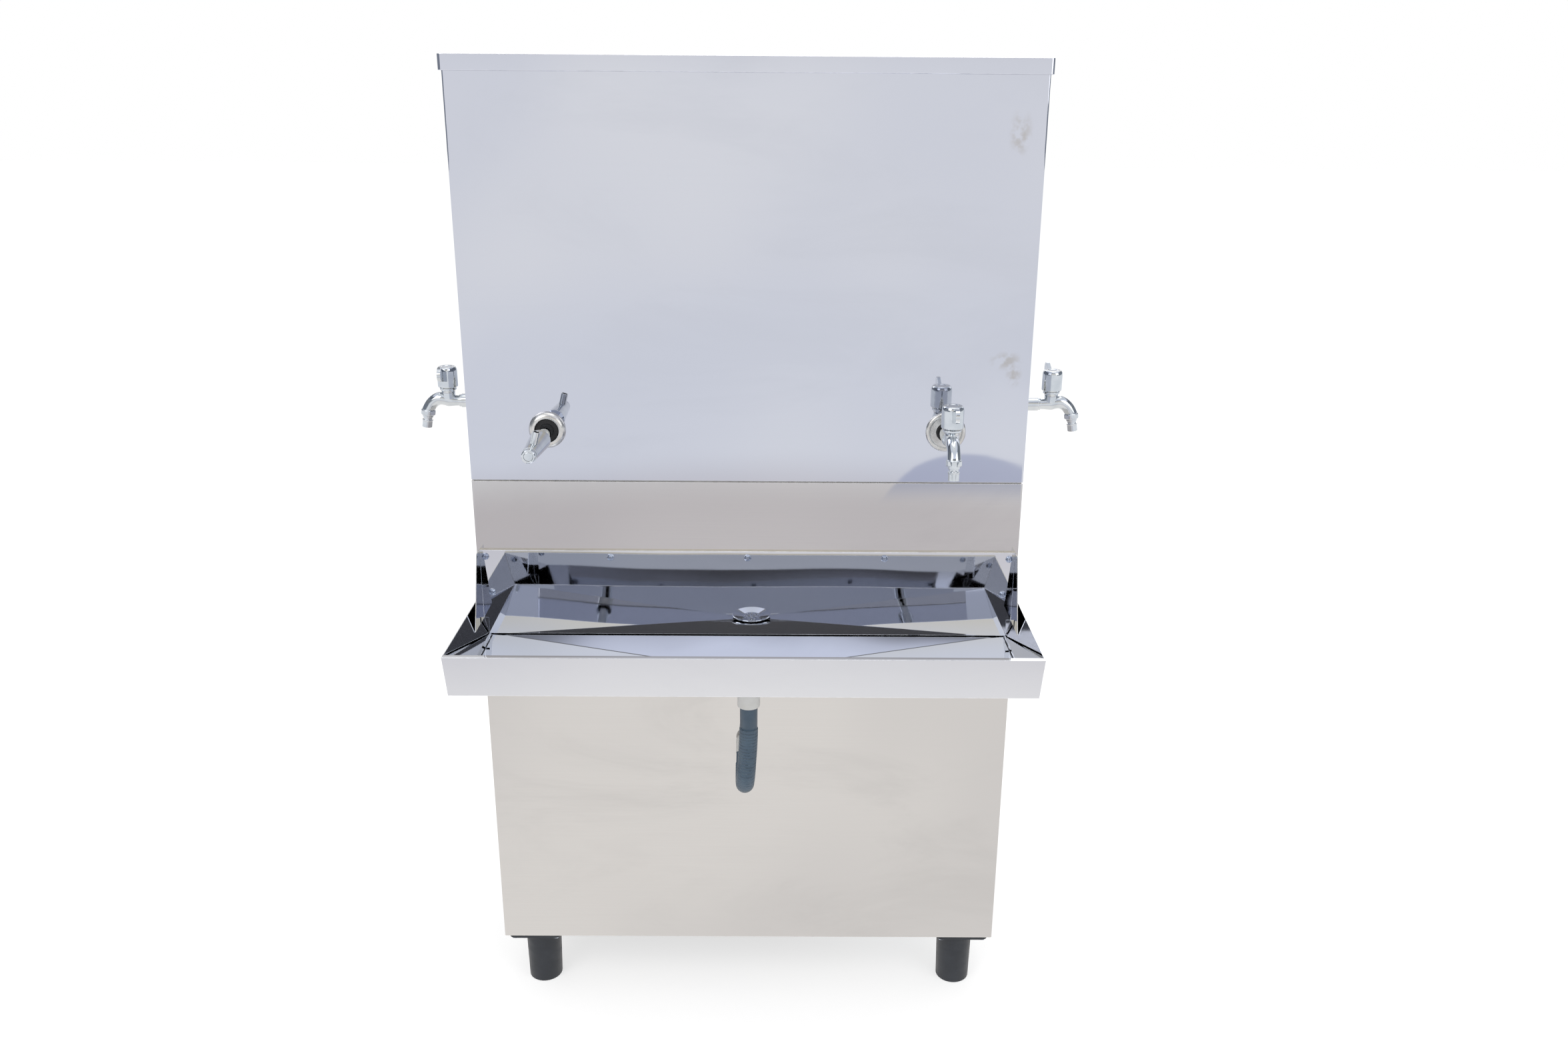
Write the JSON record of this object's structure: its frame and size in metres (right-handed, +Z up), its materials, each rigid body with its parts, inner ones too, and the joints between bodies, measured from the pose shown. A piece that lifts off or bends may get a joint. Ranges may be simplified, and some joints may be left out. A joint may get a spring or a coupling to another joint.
{
  "type": "industrial water cooler",
  "caption": "Free-standing stainless water cooler with an insulated tank, quarter-turn taps, a push-button jet tap and a drained spill trough.",
  "frame": {"origin": "on the floor, under the middle of the whole outline, trough and rear stubs included", "axes": "+Z up, -Y towards the front with the trough, +X to the right seen from the front"},
  "size_m": [1.1096, 0.862, 1.5713],
  "materials": {
    "upper_steel": "polished stainless sheet, cool grey",
    "lower_steel": "satin stainless sheet, warm grey",
    "galvanised": "zinc-coated sheet",
    "tank_steel": "stainless sheet",
    "trough_steel": "bright stainless sheet",
    "deck": "dark, in shadow",
    "foot_plastic": "charcoal moulded plastic",
    "plated_screw": "blue zinc plate",
    "white_plastic": "white moulded plastic",
    "hose_plastic": "ribbed blue-grey plastic",
    "pipe_plastic": "light grey pipe",
    "foam": "rigid foam",
    "copper": "bare copper",
    "black_paint": "black satin paint",
    "rubber": "black rubber",
    "fins": "bare aluminium",
    "black_plastic": "black moulded plastic",
    "brass": "plain brass",
    "float_plastic": "orange hollow ball",
    "chrome": "bright chrome plate"
  },
  "bodies": {
    "cabinet": {"foot_front_left": "foot_plastic", "foot_front_right": "foot_plastic", "foot_rear_left": "foot_plastic", "foot_rear_right": "foot_plastic", "foot_bolts": "plated_screw", "base_pan": "galvanised", "lower_casing": "lower_steel", "rear_cover": "galvanised", "cover_screws": "plated_screw", "divider_deck": "deck", "upper_casing": "upper_steel", "foam": "foam", "water_tank": "tank_steel", "evaporator_coil": "copper", "tray": "trough_steel", "splash_plate": "trough_steel", "tray_screws": "plated_screw", "drain_strainer": "trough_steel", "drain_cup": "white_plastic", "drain_hose": "hose_plastic", "hose_elbow": "white_plastic", "drain_pipe": "pipe_plastic", "compressor": "black_paint", "compressor_mounts": "rubber", "condenser": "fins", "fan_shroud": "black_paint", "fan_motor": "black_paint", "filter_drier": "copper", "refrigerant_pipes": "copper", "thermostat": "white_plastic", "cord_gland": "black_plastic", "inlet_nipple": "brass", "float_valve": "brass", "tap_lock_nuts": "brass", "tap_flanges": "chrome", "tap_gaskets": "rubber", "left_tap_nipple": "chrome", "left_tap_body": "chrome", "left_tap_nozzle": "chrome", "right_tap_nipple": "chrome", "right_tap_body": "chrome", "right_tap_nozzle": "chrome", "front_tap_nipple": "chrome", "front_tap_body": "chrome", "front_tap_nozzle": "chrome", "jet_tap_flange": "chrome", "jet_tap_ring": "rubber", "jet_tap_body": "chrome", "jet_tap_spout": "chrome"},
    "lid": {"lid": "upper_steel", "lid_foam": "foam"},
    "left_handle": {"left_tap_handle": "chrome"},
    "right_handle": {"right_tap_handle": "chrome"},
    "front_handle": {"front_tap_handle": "chrome"},
    "jet_button": {"jet_tap_button": "chrome"},
    "float_arm": {"float_arm": "float_plastic"},
    "fan": {"fan_blade": "fins"},
    "knob": {"thermostat_knob": "black_plastic"}
  },
  "joints": [
    {"name": "lid_lift", "type": "slide", "parent": "cabinet", "child": "lid", "axis": [0, 0, 1], "range_m": [0, 0.2]},
    {"name": "left_handle_turn", "type": "hinge", "parent": "cabinet", "child": "left_handle", "pos_m": [-0.506, -0.006, 1.05], "axis": [0, 0, 1], "range_deg": [-90, 0]},
    {"name": "right_handle_turn", "type": "hinge", "parent": "cabinet", "child": "right_handle", "pos_m": [0.506, -0.006, 1.05], "axis": [0, 0, 1], "range_deg": [-90, 0]},
    {"name": "front_handle_turn", "type": "hinge", "parent": "cabinet", "child": "front_handle", "pos_m": [0.305, -0.271, 1.05], "axis": [0, 0, 1], "range_deg": [0, 90]},
    {"name": "jet_button_push", "type": "slide", "parent": "cabinet", "child": "jet_button", "axis": [0, 1, 0], "range_m": [0, 0.007], "stiffness_N_per_m": 300, "springref_m": -0.003},
    {"name": "float_lift", "type": "hinge", "parent": "cabinet", "child": "float_arm", "pos_m": [0.21, 0.287, 1.4778], "axis": [-1, 0, 0], "range_deg": [0, 28]},
    {"name": "fan_spin", "type": "hinge", "parent": "cabinet", "child": "fan", "pos_m": [0.15, 0.258, 0.2682], "axis": [0, 1, 0], "continuous": true},
    {"name": "knob_turn", "type": "hinge", "parent": "cabinet", "child": "knob", "pos_m": [-0.33, 0.404, 0.86], "axis": [0, -1, 0], "range_deg": [0, 270]}
  ]
}
